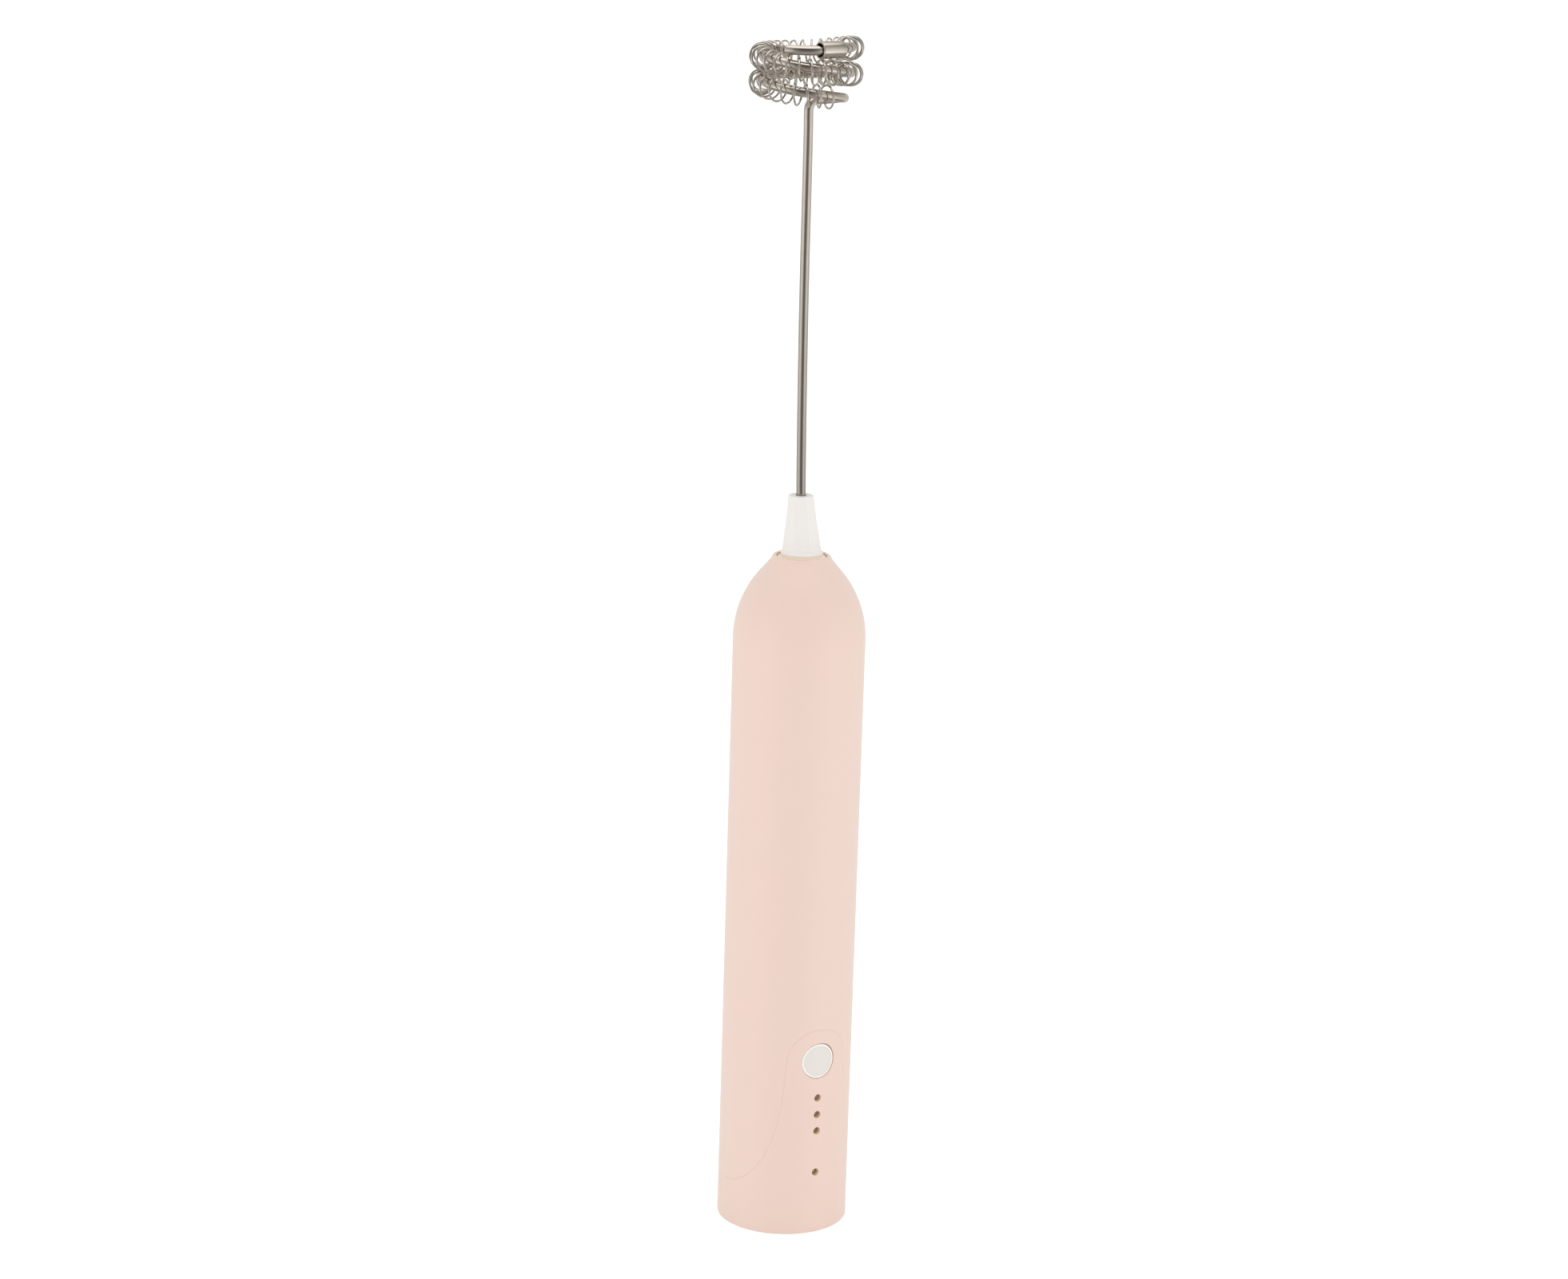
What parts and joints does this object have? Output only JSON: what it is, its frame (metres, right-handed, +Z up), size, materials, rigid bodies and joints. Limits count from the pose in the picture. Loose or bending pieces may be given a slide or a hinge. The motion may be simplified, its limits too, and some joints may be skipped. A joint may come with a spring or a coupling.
{
  "type": "milk frother",
  "caption": "Slim hand-held rechargeable milk frother: a domed tubular handle with a push button and light holes, and a pull-off wire whisk with a spring ring. Stands on its flat end.",
  "frame": {"origin": "centre of the flat end of the handle, on the surface it stands on", "axes": "+Z up along the handle and the whisk shaft; the push button and light holes face -Y; +X is on the right seen from the button side"},
  "size_m": [0.028, 0.028, 0.256],
  "materials": {
    "shell_pink": "satin, fine moulded grain",
    "white_plastic": "semi-gloss",
    "frame_plastic": "matt, as moulded",
    "black_plastic": "matt",
    "clear_plastic": "clear, polished",
    "led_lens": "milky epoxy",
    "stainless_wire": "polished stainless",
    "plated_steel": "zinc or nickel plated",
    "nickel": "satin nickel strip",
    "brass": "turned",
    "copper": "enamelled copper",
    "ferrite": "sintered, matt",
    "fibreglass": "green solder mask",
    "cell_sleeve": "shrink sleeve over a metal can",
    "seal_rubber": "matt",
    "red_insulation": "satin",
    "black_insulation": "satin"
  },
  "bodies": {
    "handle": {"upper_shell": "shell_pink", "base_cap": "shell_pink", "chassis": "frame_plastic", "motor_retainer": "frame_plastic", "light_guide": "clear_plastic", "circuit_board": "fibreglass", "switch_body": "black_plastic", "motor_driver_chip": "black_plastic", "charge_chip": "black_plastic", "inductor": "ferrite", "usb_shell": "plated_steel", "usb_tongue": "black_plastic", "speed_led_high": "led_lens", "speed_led_medium": "led_lens", "speed_led_low": "led_lens", "charge_led": "led_lens", "battery_cell": "cell_sleeve", "positive_tab": "nickel", "negative_tab": "nickel", "battery_lead_positive": "red_insulation", "battery_lead_negative": "black_insulation", "motor_lead_positive": "red_insulation", "motor_lead_negative": "black_insulation", "motor_can": "plated_steel", "motor_end_cap": "white_plastic", "front_bush": "brass", "rear_bush": "brass", "shaft_seal": "seal_rubber", "board_screw_left": "plated_steel", "board_screw_right": "plated_steel", "motor_terminal_left": "brass", "motor_terminal_right": "brass", "motor_magnet_left": "ferrite", "motor_magnet_right": "ferrite"},
    "rotor": {"motor_shaft": "plated_steel", "armature_core": "ferrite", "winding_a": "copper", "winding_b": "copper", "winding_c": "copper", "commutator": "copper", "drive_coupler": "brass"},
    "whisk": {"whisk_cone": "white_plastic", "whisk_shaft": "stainless_wire", "whisk_spring": "stainless_wire", "spring_ferrule": "stainless_wire"},
    "button": {"button": "white_plastic", "switch_plunger": "black_plastic"}
  },
  "joints": [
    {"name": "whisk_spin", "type": "hinge", "parent": "handle", "child": "rotor", "pos_m": [0, 0, 0.13], "axis": [0, 0, 1], "continuous": true},
    {"name": "whisk_release", "type": "slide", "parent": "rotor", "child": "whisk", "axis": [0, 0, 1], "range_m": [0, 0.01]},
    {"name": "button_press", "type": "slide", "parent": "handle", "child": "button", "axis": [0, 1, 0], "range_m": [0, 0.0005], "stiffness_N_per_m": 800, "springref_m": -0.001}
  ]
}
